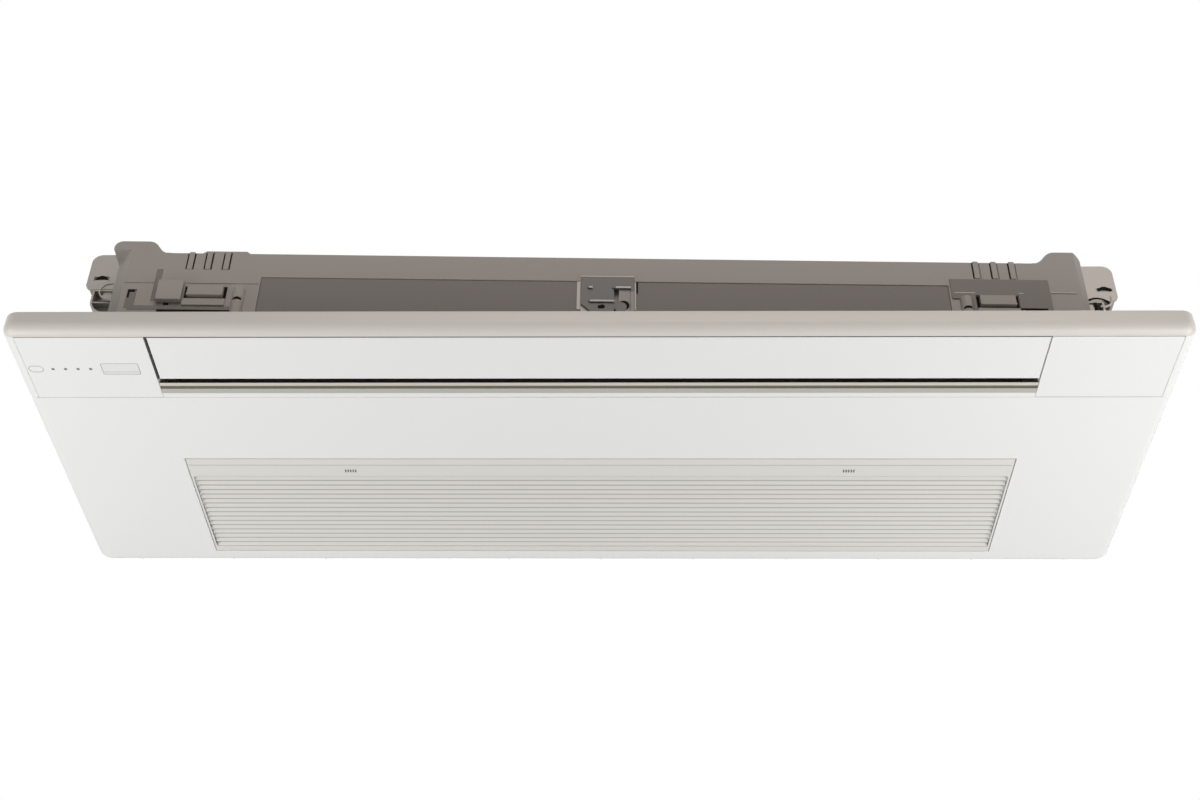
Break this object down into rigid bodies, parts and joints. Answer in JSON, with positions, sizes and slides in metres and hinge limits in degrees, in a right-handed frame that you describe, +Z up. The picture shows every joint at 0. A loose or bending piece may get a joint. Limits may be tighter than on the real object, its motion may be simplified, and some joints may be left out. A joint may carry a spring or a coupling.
{
  "type": "ceiling cassette air conditioner",
  "caption": "One-way ceiling cassette air conditioner: slim white panel with an outlet vane and hinged intake grille under a casing with cross-flow fan, coil, drain and hangers.",
  "frame": {"origin": "centre of the four hanger slots, in the plane of the underside of the hanger shelves, 105 mm above the ceiling line", "axes": "+X along the unit, left to right as seen from the outlet side; +Y from the outlet towards the intake grille; +Z up"},
  "size_m": [1.2, 0.424, 0.2019],
  "materials": {
    "panel_white": "satin moulded plastic",
    "grille_white": "satin moulded plastic",
    "outlet_beige": "satin moulded plastic",
    "casing_grey": "moulded plastic",
    "foam_dark": "closed-cell foam",
    "foam_pale": "moulded foam",
    "steel_sheet": "galvanised sheet",
    "hanger_steel": "painted sheet",
    "screw_steel": "zinc plated",
    "mesh_grey": "woven mesh in a moulded frame",
    "tinted_window": "translucent plastic",
    "lamp": "light guides",
    "board": "coated board",
    "copper": "drawn copper tube",
    "brass": "turned brass",
    "fin_aluminium": "coated fins",
    "fan_black": "moulded plastic",
    "motor_shell": "pressed shell",
    "spring_steel": "wire",
    "black_plastic": "moulded plastic"
  },
  "bodies": {
    "unit": {"button_spring": "spring_steel", "cable_gland": "black_plastic", "casing_plate": "steel_sheet", "centre_bracket": "hanger_steel", "circuit_board": "board", "coil_fins": "fin_aluminium", "coil_tubes": "copper", "control_box": "steel_sheet", "control_lid": "steel_sheet", "display_board": "board", "drain_pan": "foam_pale", "drain_spigot": "black_plastic", "end_plate_left": "steel_sheet", "end_plate_right": "steel_sheet", "end_skirt_left": "casing_grey", "end_skirt_right": "casing_grey", "fan_bearing": "black_plastic", "fan_motor": "motor_shell", "flare_nuts": "brass", "front_insulation": "foam_dark", "front_moulding": "casing_grey", "hanger_brackets": "hanger_steel", "indicator_lenses": "lamp", "latch_housings": "black_plastic", "louver_motors": "motor_shell", "louver_rail": "fan_black", "outlet_frame": "outlet_beige", "panel_catches": "casing_grey", "panel_frame": "panel_white", "partition_left": "steel_sheet", "partition_right": "steel_sheet", "rear_plate": "steel_sheet", "receiver_window": "tinted_window", "refrigerant_pipes": "copper", "screws": "screw_steel", "scroll_liner": "foam_pale", "side_cover_left": "panel_white", "side_cover_right": "panel_white", "stabiliser": "foam_pale", "top_plate": "steel_sheet", "vane_bushes": "black_plastic", "vane_motor": "motor_shell"},
    "vane": {"vane": "panel_white"},
    "fan": {"fan_rotor": "fan_black", "fan_axles": "screw_steel"},
    "grille": {"intake_grille": "grille_white", "air_filters": "mesh_grey"},
    "button": {"emergency_button": "panel_white"},
    "latch_left": {"latch_plunger_left": "black_plastic"},
    "latch_right": {"latch_plunger_right": "black_plastic"},
    "link_left": {"link_bar_left": "fan_black"},
    "link_right": {"link_bar_right": "fan_black"},
    "louver_left_1": {"louver_left_1": "fan_black"},
    "louver_left_2": {"louver_left_2": "fan_black"},
    "louver_left_3": {"louver_left_3": "fan_black"},
    "louver_left_4": {"louver_left_4": "fan_black"},
    "louver_right_1": {"louver_right_1": "fan_black"},
    "louver_right_2": {"louver_right_2": "fan_black"},
    "louver_right_3": {"louver_right_3": "fan_black"},
    "louver_right_4": {"louver_right_4": "fan_black"}
  },
  "joints": [
    {"name": "vane_tilt", "type": "hinge", "parent": "unit", "child": "vane", "pos_m": [0, -0.15, -0.116], "axis": [1, 0, 0], "range_deg": [0, 65]},
    {"name": "fan_spin", "type": "hinge", "parent": "unit", "child": "fan", "pos_m": [0, -0.038, 0.003], "axis": [1, 0, 0], "continuous": true},
    {"name": "grille_open", "type": "hinge", "parent": "unit", "child": "grille", "pos_m": [0, 0.1735, -0.125], "axis": [1, 0, 0], "range_deg": [0, 90]},
    {"name": "button_press", "type": "slide", "parent": "unit", "child": "button", "axis": [0, 0, 1], "range_m": [0, 0.0012], "stiffness_N_per_m": 300, "deforming": ["button_spring"]},
    {"name": "latch_press_left", "type": "slide", "parent": "unit", "child": "latch_left", "axis": [0, 0, 1], "range_m": [0, 0.0025], "stiffness_N_per_m": 400},
    {"name": "latch_press_right", "type": "slide", "parent": "unit", "child": "latch_right", "axis": [0, 0, 1], "range_m": [0, 0.0025], "stiffness_N_per_m": 400},
    {"name": "louver_swing_left_1", "type": "hinge", "parent": "unit", "child": "louver_left_1", "pos_m": [-0.365, -0.128, -0.094], "axis": [0, 0, 1], "range_deg": [-35, 35]},
    {"name": "louver_swing_left_2", "type": "hinge", "parent": "unit", "child": "louver_left_2", "pos_m": [-0.26, -0.128, -0.094], "axis": [0, 0, 1], "range_deg": [-35, 35]},
    {"name": "louver_swing_left_3", "type": "hinge", "parent": "unit", "child": "louver_left_3", "pos_m": [-0.155, -0.128, -0.094], "axis": [0, 0, 1], "range_deg": [-35, 35]},
    {"name": "louver_swing_left_4", "type": "hinge", "parent": "unit", "child": "louver_left_4", "pos_m": [-0.05, -0.128, -0.094], "axis": [0, 0, 1], "range_deg": [-35, 35]},
    {"name": "link_swing_left", "type": "hinge", "parent": "louver_left_1", "child": "link_left", "pos_m": [-0.365, -0.116, -0.0945], "axis": [0, 0, 1], "range_deg": [-35, 35]},
    {"name": "louver_swing_right_1", "type": "hinge", "parent": "unit", "child": "louver_right_1", "pos_m": [0.365, -0.128, -0.094], "axis": [0, 0, 1], "range_deg": [-35, 35]},
    {"name": "louver_swing_right_2", "type": "hinge", "parent": "unit", "child": "louver_right_2", "pos_m": [0.26, -0.128, -0.094], "axis": [0, 0, 1], "range_deg": [-35, 35]},
    {"name": "louver_swing_right_3", "type": "hinge", "parent": "unit", "child": "louver_right_3", "pos_m": [0.155, -0.128, -0.094], "axis": [0, 0, 1], "range_deg": [-35, 35]},
    {"name": "louver_swing_right_4", "type": "hinge", "parent": "unit", "child": "louver_right_4", "pos_m": [0.05, -0.128, -0.094], "axis": [0, 0, 1], "range_deg": [-35, 35]},
    {"name": "link_swing_right", "type": "hinge", "parent": "louver_right_1", "child": "link_right", "pos_m": [0.365, -0.116, -0.0945], "axis": [0, 0, 1], "range_deg": [-35, 35]}
  ],
  "couplings": [
    {"joint": "louver_swing_left_2", "follows": "louver_swing_left_1", "ratio": 1},
    {"joint": "louver_swing_left_3", "follows": "louver_swing_left_1", "ratio": 1},
    {"joint": "louver_swing_left_4", "follows": "louver_swing_left_1", "ratio": 1},
    {"joint": "link_swing_left", "follows": "louver_swing_left_1", "ratio": -1},
    {"joint": "louver_swing_right_2", "follows": "louver_swing_right_1", "ratio": 1},
    {"joint": "louver_swing_right_3", "follows": "louver_swing_right_1", "ratio": 1},
    {"joint": "louver_swing_right_4", "follows": "louver_swing_right_1", "ratio": 1},
    {"joint": "link_swing_right", "follows": "louver_swing_right_1", "ratio": -1}
  ]
}
